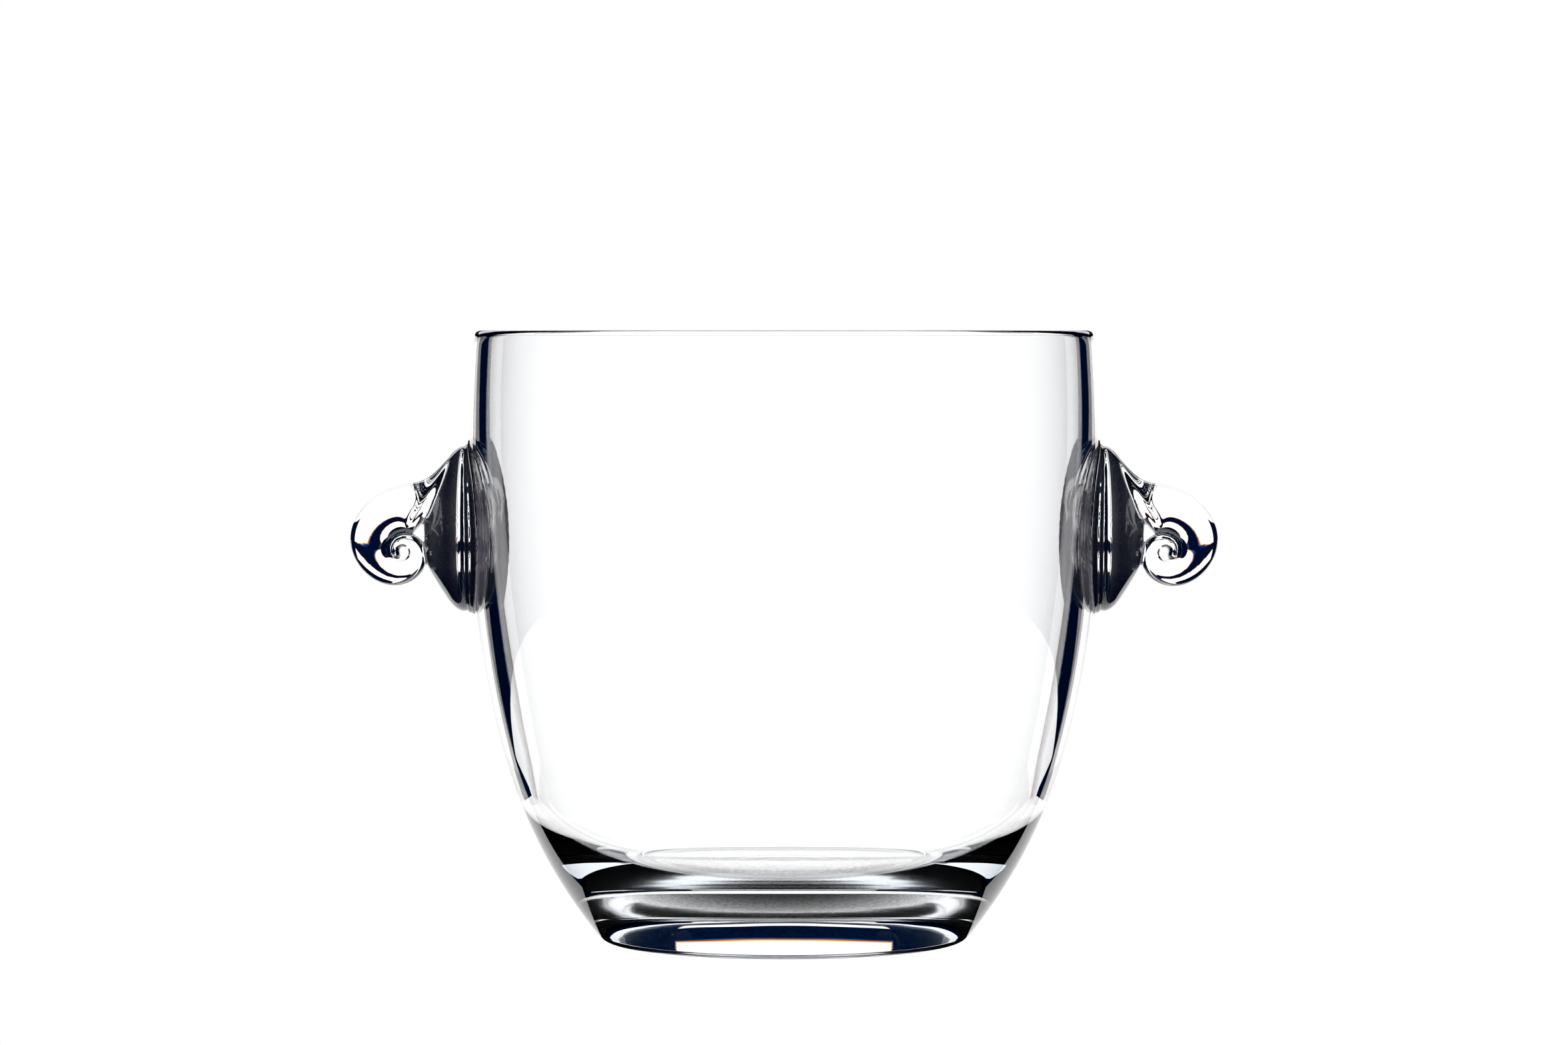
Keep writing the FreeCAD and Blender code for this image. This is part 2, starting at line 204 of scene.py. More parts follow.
def makeGlass(name, waves, footWear):
    material = bpy.data.materials.new(name)
    material.use_nodes = True
    tree = material.node_tree
    glass = tree.nodes["Principled BSDF"]
    glass.inputs["Base Color"].default_value = (1, 1, 1, 1)
    glass.inputs["IOR"].default_value = glassLook["index"]
    glass.inputs["Transmission Weight"].default_value = 1.0
    surface = addNode(tree, "ShaderNodeGroup", node_tree=handmadeSurface)
    surface.inputs["Wave Size"].default_value = waves[0]
    surface.inputs["Wave Height"].default_value = waves[1]
    surface.inputs["Foot Wear"].default_value = footWear
    tree.links.new(surface.outputs["Roughness"], glass.inputs["Roughness"])
    bump = addNode(tree, "ShaderNodeBump")
    bump.inputs["Distance"].default_value = glassLook["waveDepth"]
    tree.links.new(surface.outputs["Height"], bump.inputs["Height"])
    tree.links.new(bump.outputs["Normal"], glass.inputs["Normal"])
    body = addNode(tree, "ShaderNodeVolumeAbsorption")
    body.inputs["Color"].default_value = glassLook["tint"]
    body.inputs["Density"].default_value = glassLook["tintDensity"]
    tree.links.new(body.outputs[0], tree.nodes["Material Output"].inputs["Volume"])
    return material


vesselGlass = makeGlass("vesselGlass", glassLook["vesselWaves"], 0.25)
handleGlass = makeGlass("handleGlass", glassLook["handleWaves"], 0.0)


bondLook = {
    # painted shade: the near-black navy painted on the side of the film that faces the handle
    "paintedShade": (0.004, 0.008, 0.030, 1.0),
    "specular": 0.05,
}


def makeBondFilm():
    # cured adhesive: lilac grey and finely speckled on the side that faces the wall; the side that faces
    # the handle is painted near-black navy, painted shade
    material = bpy.data.materials.new("bondFilm")
    material.use_nodes = True
    tree = material.node_tree
    film = tree.nodes["Principled BSDF"]
    film.inputs["Specular IOR Level"].default_value = bondLook["specular"]
    place = addNode(tree, "ShaderNodeTexCoord").outputs["Object"]
    clouds = addNode(tree, "ShaderNodeTexNoise")
    clouds.inputs["Scale"].default_value = 60.0
    clouds.inputs["Detail"].default_value = 3.0
    tree.links.new(place, clouds.inputs["Vector"])
    tone = addNode(tree, "ShaderNodeValToRGB")
    tone.color_ramp.elements[0].position = 0.35
    tone.color_ramp.elements[0].color = (0.34, 0.33, 0.37, 1)
    tone.color_ramp.elements[1].position = 0.66
    tone.color_ramp.elements[1].color = (0.52, 0.45, 0.56, 1)
    tree.links.new(clouds.outputs["Fac"], tone.inputs["Fac"])
    grains = addNode(tree, "ShaderNodeTexVoronoi")
    grains.inputs["Scale"].default_value = 1500.0
    tree.links.new(place, grains.inputs["Vector"])
    speck = sums(tree, "LESS_THAN", grains.outputs["Distance"], 0.22)
    mix = addNode(tree, "ShaderNodeMix", data_type="RGBA")
    mix.inputs["B"].default_value = (0.86, 0.86, 0.90, 1)
    tree.links.new(sums(tree, "MULTIPLY", speck, 0.75), mix.inputs["Factor"])
    tree.links.new(tone.outputs["Color"], mix.inputs["A"])
    # the side that faces the handle is painted near-black navy: painted shade, a stand-in that makes the
    # flange read dark
    spot = addNode(tree, "ShaderNodeTexCoord")
    turned = addNode(tree, "ShaderNodeVectorMath", operation="DOT_PRODUCT")
    tree.links.new(spot.outputs["Object"], turned.inputs[0])
    tree.links.new(spot.outputs["Normal"], turned.inputs[1])
    # painted shade: swaps the film's own colour for the near-black navy on the side that faces the handle
    paintedShade = addNode(tree, "ShaderNodeMix", data_type="RGBA")
    tree.links.new(sums(tree, "GREATER_THAN", turned.outputs["Value"], 0.0), paintedShade.inputs["Factor"])
    tree.links.new(mix.outputs["Result"], paintedShade.inputs["A"])
    paintedShade.inputs["B"].default_value = bondLook["paintedShade"]
    tree.links.new(paintedShade.outputs["Result"], film.inputs["Base Color"])
    rough = sums(tree, "MULTIPLY_ADD", clouds.outputs["Fac"], 0.3, 0.4)
    tree.links.new(rough, film.inputs["Roughness"])
    bump = addNode(tree, "ShaderNodeBump")
    bump.inputs["Distance"].default_value = 0.0001
    tree.links.new(grains.outputs["Distance"], bump.inputs["Height"])
    tree.links.new(bump.outputs["Normal"], film.inputs["Normal"])
    return material


bondFilm = makeBondFilm()
print("materials made")


vesselSizes = {
    "height": 220.0,
    "footRadius": 61.4,
    "lowerArcRadius": 177.9,
    "lowerJoinHeight": 68.0,
    "middleArcRadius": 347.0,
    "upperJoinHeight": 148.8,
    "upperArcRadius": 675.0,
    "bellyRadius": 113.1,
    "bellyHeight": 170.0,
    "rimRadius": 2.5,
    "innerBellyRadius": 107.3,
    "innerBellyHeight": 184.0,
    "innerWallRadius": 493.6,
    "bowlRadius": 52.0,
    "ringRadius": 53.4,
    "ringHeight": 19.6,
    "floorRadius": 52.4,
    "floorHeight": 19.0,
    "ringSteps": 6,
    "flatRings": 12,
    "footRings": 96,
    "footRipple": 0.03,                        # depth of the turned rings under the foot, then spacing
    "ripplePitch": 9.0,
    "segments": 256,
}


def outerWall():
    # the outside's three tangent arcs: centre, radius and the angle where each meets the next
    s = vesselSizes
    upper = (s["bellyRadius"] - s["upperArcRadius"], s["bellyHeight"])
    upperAngle = math.degrees(math.asin((s["upperJoinHeight"] - upper[1]) / s["upperArcRadius"]))
    shift = s["upperArcRadius"] - s["middleArcRadius"]
    middle = (upper[0] + shift * math.cos(math.radians(upperAngle)),
              upper[1] + shift * math.sin(math.radians(upperAngle)))
    middleAngle = math.degrees(math.asin((s["lowerJoinHeight"] - middle[1]) / s["middleArcRadius"]))
    shift = s["middleArcRadius"] - s["lowerArcRadius"]
    lower = (middle[0] + shift * math.cos(math.radians(middleAngle)),
             middle[1] + shift * math.sin(math.radians(middleAngle)))
    return {"upper": (upper, s["upperArcRadius"], upperAngle),
            "middle": (middle, s["middleArcRadius"], middleAngle),
            "lower": (lower, s["lowerArcRadius"], middleAngle)}


def wallRadius(height):
    # outside radius of the wall at a height
    arcs = outerWall()
    if height > vesselSizes["upperJoinHeight"]:
        centre, radius, _ = arcs["upper"]
    elif height > vesselSizes["lowerJoinHeight"]:
        centre, radius, _ = arcs["middle"]
    else:
        centre, radius, _ = arcs["lower"]
    return centre[0] + math.sqrt(radius ** 2 - (height - centre[1]) ** 2)


def solve(low, high, tooSmall):
    for _ in range(60):
        guess = (low + high) / 2
        if tooSmall(guess):
            low = guess
        else:
            high = guess
    return guess


def flatRings(radius, height):
    # rings across a flat face keep its shading flat
    count = vesselSizes["flatRings"]
    return [(radius * step / count, height) for step in range(1, count)]


def footRings():
    # the underside, with the faint rings that turning left in it
    s = vesselSizes
    rings = []
    for step in range(1, s["footRings"]):
        radius = s["footRadius"] * step / s["footRings"]
        wave = 0.5 - 0.5 * math.cos(2 * math.pi * (s["footRadius"] - radius) / s["ripplePitch"])
        rings.append((radius, s["footRipple"] * wave))
    return rings


def vesselOutline():
    s = vesselSizes
    arcs = outerWall()
    lower, lowerRadius, joinAngle = arcs["lower"]
    middle, middleRadius, _ = arcs["middle"]
    upper, upperRadius, upperAngle = arcs["upper"]
    foot, rim, top = s["footRadius"], s["rimRadius"], s["height"]
    # foot edge rolls into the lower arc
    edge = solve(0.5, 30.0, lambda e: math.hypot(foot - lower[0], e - lower[1]) < lowerRadius - e)
    edgeAngle = angleTo(lower, (foot, edge))
    outline = [(0.0, 0.0)] + footRings()
    outline += arcPoints((foot, edge), edge, -90, edgeAngle, 12)
    outline += arcPoints(lower, lowerRadius, edgeAngle, joinAngle, 40)[1:]
    outline += arcPoints(middle, middleRadius, joinAngle, upperAngle, 32)[1:]
    rimCentre = (upper[0] + math.sqrt((upperRadius - rim) ** 2 - (top - rim - upper[1]) ** 2), top - rim)
    rimAngle = angleTo(upper, rimCentre)
    outline += arcPoints(upper, upperRadius, upperAngle, rimAngle, 24)[1:]
    outline += arcPoints(rimCentre, rim, rimAngle, 90, 10)[1:]
    # inside: the wall's arc runs into the bowl's, which ends at the fine ring round the floor
    wallSize, bowlSize = s["innerWallRadius"], s["bowlRadius"]
    wall = (s["innerBellyRadius"] - wallSize, s["innerBellyHeight"])
    inner = solve(0.5, 8.0, lambda r: math.hypot(rimCentre[0] - wall[0], top - r - wall[1]) > wallSize + r)
    innerCentre = (rimCentre[0], top - inner)
    innerAngle = angleTo(wall, innerCentre)
    outline += arcPoints(innerCentre, inner, 90, 180 + innerAngle, 10)[1:]
    ring = (s["ringRadius"], s["ringHeight"])

    def bowlCentre(degrees):
        turn = math.radians(degrees)
        shift = wallSize - bowlSize
        return (wall[0] + shift * math.cos(turn), wall[1] + shift * math.sin(turn))

    bowlJoin = solve(-20.0, -5.0, lambda degrees: math.dist(bowlCentre(degrees), ring) < bowlSize)
    bowl = bowlCentre(bowlJoin)
    outline += arcPoints(wall, wallSize, innerAngle, bowlJoin, 48)[1:]
    outline += arcPoints(bowl, bowlSize, bowlJoin, angleTo(bowl, ring), 48)[1:]
    # the ring's small step, then the floor
    steps = s["ringSteps"]
    for step in range(1, steps + 1):
        outline.append((ring[0] + (s["floorRadius"] - ring[0]) * step / steps,
                        ring[1] + (s["floorHeight"] - ring[1]) * smoothStep(step / steps)))
    outline += flatRings(s["floorRadius"], s["floorHeight"])[::-1]
    outline.append((0.0, s["floorHeight"]))
    return outline


def spinOutline(outline, segments):
    rows = []
    for radius, height in outline:
        if radius < 1e-6:
            rows.append([(0.0, 0.0, height)])
        else:
            turns = [2 * math.pi * k / segments for k in range(segments)]
            rows.append([(radius * math.cos(turn), radius * math.sin(turn), height) for turn in turns])
    return loopSurface(rows)


def makeVessel():
    corners, faces = spinOutline(vesselOutline(), vesselSizes["segments"])
    mesh = meshFrom("vessel", corners, faces)
    return makeObject("vessel", mesh, vesselGlass)


vessel = makeVessel()
print("vessel", len(vessel.data.polygons), "faces")


hornSizes = {
    "eyeDistance": 137.3,
    "eyeHeight": 140.5,
    "reach": 23.8,                             # eye to outside, straight up
    "quarterRatio": 0.717,                     # what a quarter turn leaves of the reach
    "bulge": 1.5,                              # extra reach on the far side
    "bulgeAngle": 160.0,
    "bulgeSpread": 38.0,
    "flare": 12.0,                             # extra reach where it leaves the bell
    "flareAngle": 63.4,
    "flareFall": 4.6,
    "startAngle": 52.0,
    "endAngle": 606.0,
    "press": 0.94,                             # how far each turn sinks in the next
    "widthShare": 0.36,
    "widthBase": 4.4,
    "widthFlare": 3.0,
    "squareness": 2.8,
    "along": 560,
    "around": 96,
}
bellSizes = {
    "axisHeight": 148.7,
    # radius, distance from the vessel's axis: nose, flank, crest
    "flank": [(0.0, 129.5), (8.0, 129.2), (13.0, 128.2), (15.8, 126.9), (17.8, 125.7), (21.0, 123.7),
              (24.8, 121.2), (27.7, 118.9), (29.3, 116.6), (29.7, 114.9)],
    # radius, share of the gap between wall and crest: the pressed rings
    "rings": [(29.7, 1.0), (29.4, 0.84), (29.0, 0.74), (29.4, 0.66), (30.2, 0.58), (30.3, 0.50),
              (29.7, 0.41), (29.8, 0.35), (30.7, 0.25), (30.9, 0.12), (30.6, 0.0)],
    "wallGap": 0.45,
    "around": 220,
    "voxel": 0.00036,                          # metres
    "neckSmoothing": 40,
    "evenSmoothing": 8,
}


def makeHornTree(material):
    # a tapering rod rolled about an eye: a grid laid along a logarithmic spiral
    title = {key: "".join(" " + c if c.isupper() else c for c in key).title()
             for key in hornSizes if key not in ("along", "around")}
    inputs = [(title[key], number, float(hornSizes[key])) for key in title]
    inputs += [("Along", "NodeSocketInt", hornSizes["along"]),
               ("Around", "NodeSocketInt", hornSizes["around"]),
               ("Finish", "NodeSocketMaterial", None)]
    tree, ask, give = newGroup("rolledHorn", "GeometryNodeTree", inputs,
                               [("Geometry", "NodeSocketGeometry", None)])

    def want(key):
        return ask.outputs[title[key]]

    def calc(operation, *values):
        return sums(tree, operation, *values)

    grid = addNode(tree, "GeometryNodeMeshGrid")
    grid.inputs["Size X"].default_value = 1.0
    grid.inputs["Size Y"].default_value = 1.0
    tree.links.new(ask.outputs["Along"], grid.inputs["Vertices X"])
    tree.links.new(ask.outputs["Around"], grid.inputs["Vertices Y"])
    split = addNode(tree, "ShaderNodeSeparateXYZ")
    tree.links.new(addNode(tree, "GeometryNodeInputPosition").outputs[0], split.inputs[0])
    along = calc("ADD", split.outputs["X"], 0.5)
    around = calc("MULTIPLY", calc("ADD", split.outputs["Y"], 0.5), 2 * math.pi)

    sweep = calc("SUBTRACT", want("endAngle"), want("startAngle"))
    turn = calc("MULTIPLY_ADD", along, sweep, want("startAngle"))
    quarters = calc("DIVIDE", calc("SUBTRACT", turn, 90.0), 90.0)
    spiral = calc("MULTIPLY", want("reach"), calc("POWER", want("quarterRatio"), quarters))
    nextTurn = calc("MULTIPLY", spiral, calc("POWER", want("quarterRatio"), 4.0))
    core = calc("MULTIPLY", nextTurn, want("press"))
    away = calc("DIVIDE", calc("SUBTRACT", turn, want("bulgeAngle")), want("bulgeSpread"))
    fade = calc("EXPONENT", calc("MULTIPLY", calc("MULTIPLY", away, away), -1.0))
    bulge = calc("MULTIPLY", want("bulge"), fade)
    past = calc("DIVIDE", calc("SUBTRACT", turn, want("flareAngle")), want("flareFall"))
    fall = calc("MINIMUM", calc("EXPONENT", calc("MULTIPLY", past, -1.0)), 1.0)
    outside = calc("ADD", calc("ADD", spiral, bulge), calc("MULTIPLY", want("flare"), fall))

    # both ends round off to a point
    tip = calc("MAXIMUM", calc("MULTIPLY_ADD", along, 16.0, -15.0), 0.0)
    root = calc("MAXIMUM", calc("MULTIPLY_ADD", along, -60.0, 1.0), 0.0)

    def rounded(share):
        left = calc("SUBTRACT", 1.0, calc("MULTIPLY", share, share))
        return calc("SQRT", calc("MAXIMUM", left, 0.0))

    closing = calc("MULTIPLY", rounded(tip), rounded(root))
    middle = calc("MULTIPLY", calc("ADD", outside, core), 0.5)
    depth = calc("MULTIPLY", calc("MULTIPLY", calc("SUBTRACT", outside, core), 0.5), closing)
    wide = calc("MULTIPLY_ADD", spiral, want("widthShare"), want("widthBase"))
    sideFall = calc("EXPONENT", calc("MULTIPLY", past, -0.3))
    flared = calc("MULTIPLY_ADD", want("widthFlare"), calc("MINIMUM", sideFall, 1.0), wide)
    wide = calc("MULTIPLY", flared, closing)

    # squared oval section
    power = calc("DIVIDE", 2.0, want("squareness"))
    cosine, sine = calc("COSINE", around), calc("SINE", around)
    outward = calc("MULTIPLY", calc("SIGN", cosine), calc("POWER", calc("ABSOLUTE", cosine), power))
    sideways = calc("MULTIPLY", calc("SIGN", sine), calc("POWER", calc("ABSOLUTE", sine), power))
    arm = calc("MULTIPLY_ADD", outward, depth, middle)
    radians = calc("RADIANS", turn)
    place = addNode(tree, "ShaderNodeCombineXYZ")
    tree.links.new(calc("SUBTRACT", want("eyeDistance"), calc("MULTIPLY", arm, calc("COSINE", radians))),
                   place.inputs["X"])
    tree.links.new(calc("MULTIPLY", sideways, wide), place.inputs["Y"])
    tree.links.new(calc("ADD", want("eyeHeight"), calc("MULTIPLY", arm, calc("SINE", radians))),
                   place.inputs["Z"])
    scaled = addNode(tree, "ShaderNodeVectorMath", operation="SCALE")
    tree.links.new(place.outputs[0], scaled.inputs[0])
    scaled.inputs["Scale"].default_value = mm
    moved = addNode(tree, "GeometryNodeSetPosition")
    tree.links.new(grid.outputs["Mesh"], moved.inputs["Geometry"])
    tree.links.new(scaled.outputs[0], moved.inputs["Position"])
    welded = addNode(tree, "GeometryNodeMergeByDistance")
    welded.inputs["Distance"].default_value = 1e-6
    tree.links.new(moved.outputs[0], welded.inputs["Geometry"])
    real = addNode(tree, "GeometryNodeRealizeInstances")
    tree.links.new(welded.outputs[0], real.inputs[0])
    finish = addNode(tree, "GeometryNodeSetMaterial")
    tree.links.new(real.outputs[0], finish.inputs["Geometry"])
    tree.links.new(ask.outputs["Finish"], finish.inputs["Material"])
    tree.links.new(finish.outputs[0], give.inputs["Geometry"])
    return tree, title


def setInput(modifier, tree, name, value):
    for item in tree.interface.items_tree:
        if item.item_type == "SOCKET" and item.in_out == "INPUT" and item.name == name:
            modifier[item.identifier] = value


def evaluatedMesh(piece):
    graph = bpy.context.evaluated_depsgraph_get()
    return bpy.data.meshes.new_from_object(piece.evaluated_get(graph))


def makeHornMesh(changes):
    tree, title = makeHornTree(handleGlass)
    holder = makeObject("hornHolder", bpy.data.meshes.new("hornHolder"))
    modifier = holder.modifiers.new("rolledHorn", "NODES")
    modifier.node_group = tree
    for key, value in changes.items():
        setInput(modifier, tree, title[key], float(value))
    setInput(modifier, tree, "Finish", handleGlass)
    mesh = evaluatedMesh(holder)
    bpy.data.objects.remove(holder)
    return mesh


def makeBellRows():
    # the flange, turned about a level axis, its back following the vessel's wall
    s = bellSizes
    flank = cubicThrough(s["flank"], 6)
    rings = cubicThrough(s["rings"], 4)[1:]
    crest = s["flank"][-1]
    rows = []
    for radius, distance in flank:
        rows.append([bellPoint(radius, k, distance, None) for k in range(s["around"])]
                    if radius > 1e-6 else [(distance, 0.0, s["axisHeight"])])
    for radius, share in rings:
        rows.append([bellPoint(radius, k, crest[1], share) for k in range(s["around"])])
    backRadius = rings[-1][0]
    for step in range(15, 0, -1):
        rows.append([bellPoint(backRadius * step / 16, k, crest[1], 0.0) for k in range(s["around"])])
    rows.append([(wallRadius(s["axisHeight"]) + s["wallGap"], 0.0, s["axisHeight"])])
    return rows


def bellPoint(radius, k, distance, share):
    angle = 2 * math.pi * k / bellSizes["around"]
    y = radius * math.cos(angle)
    z = bellSizes["axisHeight"] + radius * math.sin(angle)
    if share is None:
        return (distance, y, z)
    crestRadius = bellSizes["flank"][-1][0]
    crestZ = bellSizes["axisHeight"] + crestRadius * math.sin(angle)
    crestGap = distance - math.sqrt(wallRadius(crestZ) ** 2 - (crestRadius * math.cos(angle)) ** 2)
    wall = math.sqrt(wallRadius(z) ** 2 - y ** 2)
    gap = bellSizes["wallGap"]
    return (wall + gap + share * max(0.15, crestGap - gap), y, z)


def easeNeck(mesh, rounds):
    # let the hot neck flow into the bell: smooth only near their joint, and a touch everywhere
    count = len(mesh.vertices)
    weights = []
    for vertex in mesh.vertices:
        x, y, z = (value / mm for value in vertex.co)
        lift = z - bellSizes["axisHeight"]
        off = math.hypot(y, lift)
        near = 1.0 - smoothStep((abs(x - 125.5) - 3.5) / 4.0)
        near *= smoothStep((off - 12.0) / 3.0) * (1.0 - smoothStep((off - 25.0) / 4.0))
        near *= smoothStep((lift + 12.0) / 8.0) if abs(y) < 9 else 1.0
        weights.append(near)
    work = bmesh.new()
    work.from_mesh(mesh)
    work.verts.ensure_lookup_table()
    neighbours = [[edge.other_vert(vertex).index for edge in vertex.link_edges] for vertex in work.verts]
    places = [vertex.co.copy() for vertex in work.verts]
    chosen = [index for index in range(count) if weights[index] > 0.01]
    for _ in range(bellSizes["evenSmoothing"]):
        places = smoothed(places, neighbours, range(count), None, 0.5)
    for _ in range(rounds):
        places = smoothed(places, neighbours, chosen, weights, 0.9)
    for vertex, place in zip(work.verts, places):
        vertex.co = place
    work.to_mesh(mesh)
    work.free()


def smoothed(places, neighbours, chosen, weights, strength):
    result = list(places)
    for index in chosen:
        around = neighbours[index]
        total = Vector((0, 0, 0))
        for other in around:
            total += places[other]
        share = strength if weights is None else strength * weights[index]
        result[index] = places[index].lerp(total / len(around), share)
    return result


def makeHandle(name, side, changes):
    horn = makeHornMesh(changes)
    corners, faces = loopSurface(makeBellRows())
    work = bmesh.new()
    work.from_mesh(horn)
    work.from_mesh(meshFrom("bell", corners, faces))
    bmesh.ops.recalc_face_normals(work, faces=work.faces)
    blank = bpy.data.meshes.new("blank")
    work.to_mesh(blank)
    work.free()
    holder = makeObject("blankHolder", blank)
    fused = holder.modifiers.new("fused", "REMESH")
    fused.mode = "VOXEL"
    fused.voxel_size = bellSizes["voxel"]
    fused.use_smooth_shade = True
    mesh = evaluatedMesh(holder)
    bpy.data.objects.remove(holder)
    easeNeck(mesh, bellSizes["neckSmoothing"])
    mesh.name = name
    work = bmesh.new()
    work.from_mesh(mesh)
    for vertex in work.verts:
        vertex.co.x *= side
    if side < 0:
        bmesh.ops.reverse_faces(work, faces=work.faces)
    for face in work.faces:
        face.smooth = True
    work.to_mesh(mesh)
    work.free()
    return makeObject(name, mesh, handleGlass)


rightHandle = makeHandle("rightHandle", 1, {})
leftHandle = makeHandle("leftHandle", -1, {"quarterRatio": 0.714, "eyeHeight": 140.7})
print("handles", len(rightHandle.data.polygons), "faces each")


# inside and outside are heights above the wall; the outside sinks into the handle's back
padSizes = {"radius": 30.7, "lift": 1.0, "inside": 0.06, "outside": 0.62, "ragged": 0.22, "around": 360}


def makePad(name, side):
    s = padSizes
    level = bellSizes["axisHeight"] + s["lift"]

    def ring(share, offset):
        row = []
        for k in range(s["around"]):
            angle = 2 * math.pi * k / s["around"]
            ragged = s["ragged"] * (math.sin(41 * angle) + 0.6 * math.sin(67 * angle + 1.3)
                                    + 0.5 * math.sin(13 * angle + 0.4))
            radius = (s["radius"] + ragged * smoothStep((share - 0.8) * 5)) * share
            y, z = radius * math.cos(angle), level + radius * math.sin(angle)
            row.append((side * (math.sqrt(wallRadius(z) ** 2 - y ** 2) + offset), y, z))
        return row

    def middlePoint(offset):
        return [(side * (wallRadius(level) + offset), 0.0, level)]

    shares = [0.12 * step for step in range(1, 8)] + [0.92, 0.96, 0.985]
    rows = [middlePoint(s["inside"])] + [ring(share, s["inside"]) for share in shares]
    rows.append(ring(1.0, (s["inside"] + s["outside"]) / 2))
    rows += [ring(share, s["outside"]) for share in reversed(shares)] + [middlePoint(s["outside"])]
    corners, faces = loopSurface(rows)
    return makeObject(name, meshFrom(name, corners, faces), bondFilm)


rightBond = makePad("rightBond", 1)
leftBond = makePad("leftBond", -1)
print("bond pads made")

for piece, node, slot in ((vessel, "bucket", "vessel_glass"),
                          (rightHandle, "right_handle", "handle_glass"),
                          (leftHandle, "left_handle", "handle_glass"),
                          (rightBond, "right_handle_bond", "bond_film"),
                          (leftBond, "left_handle_bond", "bond_film")):
    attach(piece, "root")
    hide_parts(node)


studio = {
    "cameraDistance": 2.05,
    "cameraHeight": 0.220,
    "aimDrop": 0.0691,                         # how far below the camera the picture's centre lies
    "frameWidth": 0.5643,                      # width of the view at the vessel's axis
    "backdropGap": 2.8,
    "backdropHalf": 1.15,
    "backdropTop": 1.2,
    "backdropBottom": -0.6,
    "slotLow": 0.36,                           # a dark slot across the backdrop
    "slotHigh": 0.60,
    "fringe": 0.045,                           # width of the coloured hem along each edge
    "floorSize": 6.0,
    "floorLevel": -0.0004,
    "mirrorHalf": 0.1,                         # where the wall mirrors the floor: behind this half width,
    "mirrorSlope": 1.6,                        # in a wedge that opens at this slope
    "tableLevel": -0.0002,
    "tableSides": 96,
    "tableGrain": 700.0,
    "tableRadius": 0.62,
    "footReach": 0.062,                        # the table is shaded where the foot stands on it
    "footDark": 0.03,
    "footClear": 0.004,                        # how far back its shade has cleared
    "glow": 1.3,                               # makes up for what the glass surfaces reflect away
    "darkRoom": (0.0, 0.003, 0.018),
}

cameraData = bpy.data.cameras.new("camera")
cameraData.sensor_width = 36.0
cameraData.lens = 36.0 * studio["cameraDistance"] / studio["frameWidth"]
cameraData.clip_end = 50.0
camera = bpy.data.objects.new("camera", cameraData)
bpy.context.scene.collection.objects.link(camera)
camera.location = (0.0, -studio["cameraDistance"], studio["cameraHeight"])
tilt = math.atan(studio["aimDrop"] / studio["cameraDistance"])
camera.rotation_euler = (math.pi / 2 - tilt, 0.0, 0.0)
bpy.context.scene.camera = camera
bpy.context.view_layer.update()


def emissionMaterial(name):
    material = bpy.data.materials.new(name)
    material.use_nodes = True
    tree = material.node_tree
    tree.nodes.clear()
    lamp = addNode(tree, "ShaderNodeEmission")
    tree.links.new(lamp.outputs[0], addNode(tree, "ShaderNodeOutputMaterial").inputs["Surface"])
    return material, tree, lamp


def makeBackdrop():
    # a lit sheet behind the object that keeps square to the camera, with a dark slot across it;
    # each hem runs from white through a rainbow's colours to dark
    s = studio
    back = camera.matrix_world.inverted()
    corners = [back @ Vector((side * s["backdropHalf"], s["backdropGap"], height))
               for height in (s["backdropBottom"], s["backdropTop"]) for side in (-1, 1)]
    mesh = bpy.data.meshes.new("backdrop")
    mesh.from_pydata(corners, [], [(0, 1, 3, 2)])
    material, tree, lamp = emissionMaterial("backdropPaper")
    place = addNode(tree, "ShaderNodeSeparateXYZ")
    tree.links.new(addNode(tree, "ShaderNodeTexCoord").outputs["Object"], place.inputs[0])
    topLocal = corners[-1].y
    fromSide = sums(tree, "SUBTRACT", s["backdropHalf"], sums(tree, "ABSOLUTE", place.outputs["X"]))
    fromTop = sums(tree, "SUBTRACT", topLocal, place.outputs["Y"])
    bottomLocal = corners[0].y
    scale = (topLocal - bottomLocal) / (s["backdropTop"] - s["backdropBottom"])
    slotMiddle = bottomLocal + scale * ((s["slotLow"] + s["slotHigh"]) / 2 - s["backdropBottom"])
    slotHalf = scale * (s["slotHigh"] - s["slotLow"]) / 2
    fromMiddle = sums(tree, "ABSOLUTE", sums(tree, "SUBTRACT", place.outputs["Y"], slotMiddle))
    fromSlot = sums(tree, "SUBTRACT", fromMiddle, slotHalf)
    nearest = sums(tree, "MINIMUM", sums(tree, "MINIMUM", fromSide, fromTop), fromSlot)
    hem = addNode(tree, "ShaderNodeMapRange")
    hem.inputs["From Max"].default_value = s["fringe"]
    tree.links.new(nearest, hem.inputs["Value"])
    tone = addNode(tree, "ShaderNodeValToRGB")
    ramp = tone.color_ramp
    ramp.elements[0].color = (*s["darkRoom"], 1)
    ramp.elements[1].color = (1, 1, 1, 1)
    for position, color in ((0.2, (0.0, 0.03, 0.25)), (0.36, (0.02, 0.10, 0.08)),
                            (0.52, (0.75, 0.10, 0.01)), (0.74, (1.0, 0.62, 0.16))):
        ramp.elements.new(position).color = (*color, 1)
    tree.links.new(hem.outputs["Result"], tone.inputs["Fac"])
    tree.links.new(tone.outputs["Color"], lamp.inputs["Color"])
    lamp.inputs["Strength"].default_value = s["glow"]
    backdrop = makeObject("backdrop", mesh, material)
    backdrop.parent = camera
    backdrop.visible_camera = False
    return backdrop


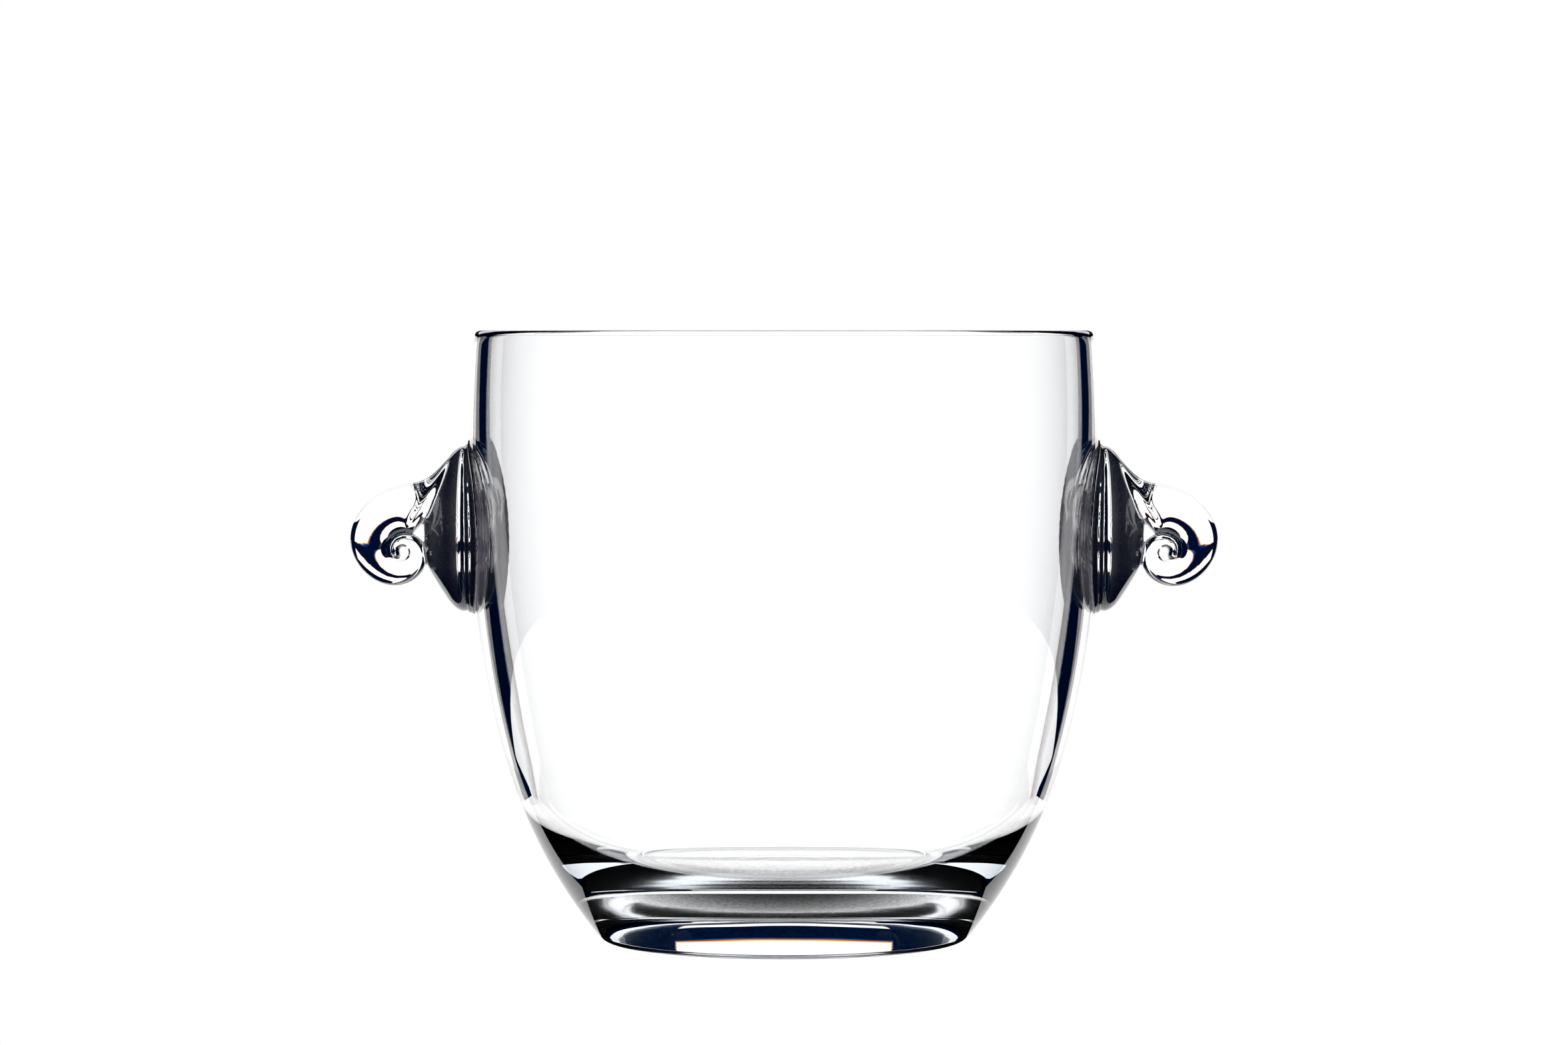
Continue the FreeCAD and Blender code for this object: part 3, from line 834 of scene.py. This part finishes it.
def makeFloor():
    # the wide pale floor: the eye sees all of it, and the glass mirrors only a wedge behind it
    s = studio
    half = s["floorSize"] / 2
    corners = [(x * half, y * half, s["floorLevel"]) for x, y in ((-1, -1), (1, -1), (1, 1), (-1, 1))]
    mesh = bpy.data.meshes.new("floor")
    mesh.from_pydata(corners, [], [(0, 1, 2, 3)])
    material, tree, lamp = emissionMaterial("floorPaper")
    place = addNode(tree, "ShaderNodeSeparateXYZ")
    tree.links.new(addNode(tree, "ShaderNodeTexCoord").outputs["Object"], place.inputs[0])
    aside = sums(tree, "SUBTRACT", sums(tree, "ABSOLUTE", place.outputs["X"]), s["mirrorHalf"])
    edge = sums(tree, "MULTIPLY", sums(tree, "MAXIMUM", aside, 0.0), s["mirrorSlope"])
    behind = sums(tree, "GREATER_THAN", place.outputs["Y"], edge)
    seen = addNode(tree, "ShaderNodeLightPath").outputs["Is Camera Ray"]
    tree.links.new(sums(tree, "MAXIMUM", behind, seen), lamp.inputs["Strength"])
    floor = makeObject("floor", mesh, material)
    floor.visible_transmission = False
    floor.visible_diffuse = False
    return floor


def makeTable():
    # the round light table that shines up through the glass, shaded under the front of the foot
    s = studio
    sides = s["tableSides"]
    rim = [(s["tableRadius"] * math.cos(2 * math.pi * k / sides),
            s["tableRadius"] * math.sin(2 * math.pi * k / sides), s["tableLevel"]) for k in range(sides)]
    mesh = bpy.data.meshes.new("lightTable")
    mesh.from_pydata(rim, [], [tuple(range(sides))])
    material, tree, lamp = emissionMaterial("tableLight")
    place = addNode(tree, "ShaderNodeTexCoord").outputs["Object"]
    apart = addNode(tree, "ShaderNodeSeparateXYZ")
    tree.links.new(place, apart.inputs[0])
    depth = addNode(tree, "ShaderNodeMapRange", interpolation_type="SMOOTHSTEP")
    depth.inputs["From Min"].default_value = -s["footReach"]
    depth.inputs["From Max"].default_value = s["footClear"]
    depth.inputs["To Min"].default_value = s["footDark"]
    tree.links.new(apart.outputs["Y"], depth.inputs["Value"])
    grain = addNode(tree, "ShaderNodeTexNoise")
    grain.inputs["Scale"].default_value = s["tableGrain"]
    tree.links.new(place, grain.inputs["Vector"])
    speckle = addNode(tree, "ShaderNodeMapRange")
    speckle.inputs["From Min"].default_value = 0.3
    speckle.inputs["From Max"].default_value = 0.7
    speckle.inputs["To Min"].default_value = 0.7
    speckle.inputs["To Max"].default_value = 1.3
    tree.links.new(grain.outputs["Fac"], speckle.inputs["Value"])
    shaded = sums(tree, "MULTIPLY", depth.outputs["Result"], speckle.outputs["Result"])
    away = addNode(tree, "ShaderNodeVectorMath", operation="LENGTH")
    tree.links.new(place, away.inputs[0])
    clear = sums(tree, "GREATER_THAN", away.outputs["Value"], s["footReach"])
    reach = sums(tree, "MINIMUM", sums(tree, "MAXIMUM", shaded, clear), 1.0)
    tree.links.new(sums(tree, "MULTIPLY", reach, s["glow"]), lamp.inputs["Strength"])
    table = makeObject("lightTable", mesh, material)
    table.visible_camera = False
    table.visible_glossy = False
    return table


def makeRoom():
    # the room is dark to the glass and white to the eye
    world = bpy.data.worlds.new("room")
    bpy.context.scene.world = world
    world.use_nodes = True
    tree = world.node_tree
    tree.nodes.clear()
    dark = addNode(tree, "ShaderNodeBackground")
    dark.inputs["Color"].default_value = (*studio["darkRoom"], 1)
    white = addNode(tree, "ShaderNodeBackground")
    white.inputs["Color"].default_value = (1, 1, 1, 1)
    choose = addNode(tree, "ShaderNodeMixShader")
    tree.links.new(addNode(tree, "ShaderNodeLightPath").outputs["Is Camera Ray"], choose.inputs[0])
    tree.links.new(dark.outputs[0], choose.inputs[1])
    tree.links.new(white.outputs[0], choose.inputs[2])
    tree.links.new(choose.outputs[0], addNode(tree, "ShaderNodeOutputWorld").inputs["Surface"])


for light in (makeBackdrop(), makeFloor(), makeTable()):
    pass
makeRoom()
bpy.context.scene.view_settings.view_transform = "Standard"
print("studio made")
